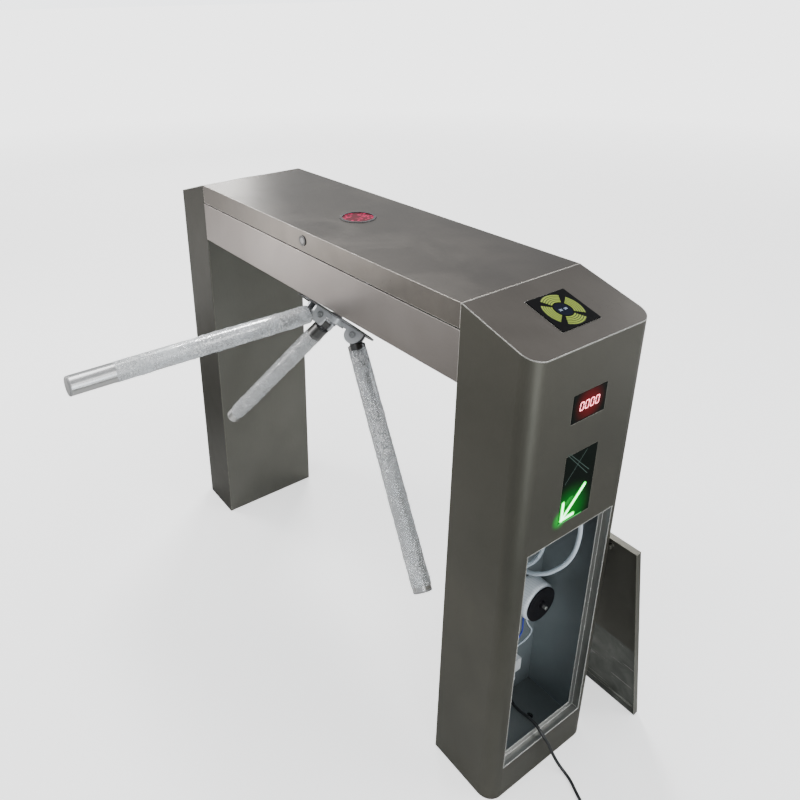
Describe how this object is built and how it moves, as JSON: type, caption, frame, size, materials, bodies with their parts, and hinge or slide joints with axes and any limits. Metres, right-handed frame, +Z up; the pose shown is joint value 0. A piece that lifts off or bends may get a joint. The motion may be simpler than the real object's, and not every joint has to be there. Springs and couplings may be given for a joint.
{
  "type": "visitor counter turnstile",
  "caption": "Bridge cabinet on pedestals with a rotating tripod barrier that lets visitors pass singly and counts them; lid, drop arm, bay covers and mains lead.",
  "frame": {"origin": "on the floor, at the centre of the rectangle of four anchor holes in the two base plates", "axes": "+X along the cabinet towards the pedestal with the counter and the open bay, -Y towards the passage where the arms reach, +Z up"},
  "size_m": [1.4049, 0.9011, 1.0016],
  "materials": {
    "pedestal_steel": "brushed stainless sheet, dark olive cast",
    "inner_steel": "mill-finish sheet, bluish grey",
    "beam_steel": "brushed stainless sheet, warm grey",
    "lid_steel": "brushed stainless sheet, warm grey",
    "plate_steel": "grey painted steel plate",
    "zinc_fasteners": "zinc plated",
    "black_acrylic": "smoked black acrylic",
    "circuit_board": "green solder mask",
    "head_steel": "dark painted steel",
    "machined_steel": "machined steel",
    "cast_alloy": "cast and machined aluminium",
    "arm_steel": "polished stainless tube",
    "end_plug": "grey plastic plug",
    "packing_film": "clear wrinkled packing film",
    "black_plastic": "moulded black plastic",
    "white_plastic": "moulded white plastic",
    "toroid_wrap": "white polyester tape",
    "white_sleeving": "translucent cable sleeving",
    "blue_insulation": "blue wire insulation",
    "lead_rubber": "black sheathed lead",
    "lamp_red": "red lamp cluster under a clear lens"
  },
  "bodies": {
    "cabinet": {"right_pedestal_shell": "pedestal_steel", "left_pedestal_shell": "pedestal_steel", "right_inner_panel": "inner_steel", "left_inner_panel": "inner_steel", "right_door_frame": "inner_steel", "left_door_frame": "inner_steel", "slope_panels": "lid_steel", "right_base_plate": "plate_steel", "left_base_plate": "plate_steel", "beam_tray": "beam_steel", "beam_bolts": "zinc_fasteners", "lid_hinge_leaves": "zinc_fasteners", "reader_windows": "black_acrylic", "counter_window": "black_acrylic", "direction_windows": "black_acrylic", "reader_modules": "circuit_board", "counter_display": "circuit_board", "direction_displays": "circuit_board", "drive_frame": "head_steel", "drive_frame_bolts": "zinc_fasteners", "head_housing": "cast_alloy", "spindle_bearings": "machined_steel", "lock_pawls": "machined_steel", "lock_solenoids": "black_plastic", "rotary_damper": "black_plastic", "position_sensor": "black_plastic", "control_board": "circuit_board", "transformer": "toroid_wrap", "transformer_clamp": "black_plastic", "circuit_breaker": "white_plastic", "din_rail": "zinc_fasteners", "terminal_block": "white_plastic", "low_voltage_cable": "white_sleeving", "blue_wire": "blue_insulation", "white_wire": "white_sleeving", "cord_gland": "black_plastic", "power_cord": "lead_rubber", "cord_coil": "lead_rubber", "power_plug": "black_plastic"},
    "tripod": {"spindle": "machined_steel", "index_cam": "machined_steel", "hub_disc": "machined_steel", "hub_casting": "cast_alloy", "hub_fasteners": "machined_steel", "left_arm": "arm_steel", "right_arm": "arm_steel", "lower_arm_caps": "end_plug", "lower_arm_films": "packing_film"},
    "drop_arm": {"drop_arm_tube": "arm_steel", "drop_arm_cap": "end_plug", "drop_arm_film": "packing_film"},
    "lid": {"lid": "lid_steel", "lid_hinge_flaps": "zinc_fasteners", "lamp_ring": "black_plastic", "lamp_lens": "lamp_red", "lamp_board": "lamp_red", "lid_lock_body": "machined_steel"},
    "lid_lock": {"lid_lock_plug": "machined_steel"},
    "loose_cover": {"removed_cover": "pedestal_steel"},
    "bay_cover": {"fitted_cover": "pedestal_steel"}
  },
  "joints": [
    {"name": "tripod_spin", "type": "hinge", "parent": "cabinet", "child": "tripod", "pos_m": [0, -0.0357, 0.8136], "axis": [0, -0.6665, -0.7455], "continuous": true},
    {"name": "arm_drop", "type": "hinge", "parent": "tripod", "child": "drop_arm", "pos_m": [0, -0.1117, 0.8136], "axis": [1, 0, 0], "range_deg": [0, 88]},
    {"name": "lid_open", "type": "hinge", "parent": "cabinet", "child": "lid", "pos_m": [0, 0.1432, 0.9545], "axis": [-1, 0, 0], "range_deg": [0, 75]},
    {"name": "lid_lock_turn", "type": "hinge", "parent": "lid", "child": "lid_lock", "pos_m": [0.002, -0.14, 0.979], "axis": [0, -1, 0], "range_deg": [0, 90]},
    {"name": "loose_cover_lift", "type": "slide", "parent": "cabinet", "child": "loose_cover", "axis": [0, 0, 1], "range_m": [0, 0.3]},
    {"name": "bay_cover_pull", "type": "slide", "parent": "cabinet", "child": "bay_cover", "axis": [-1, 0, 0], "range_m": [0, 0.25]}
  ]
}
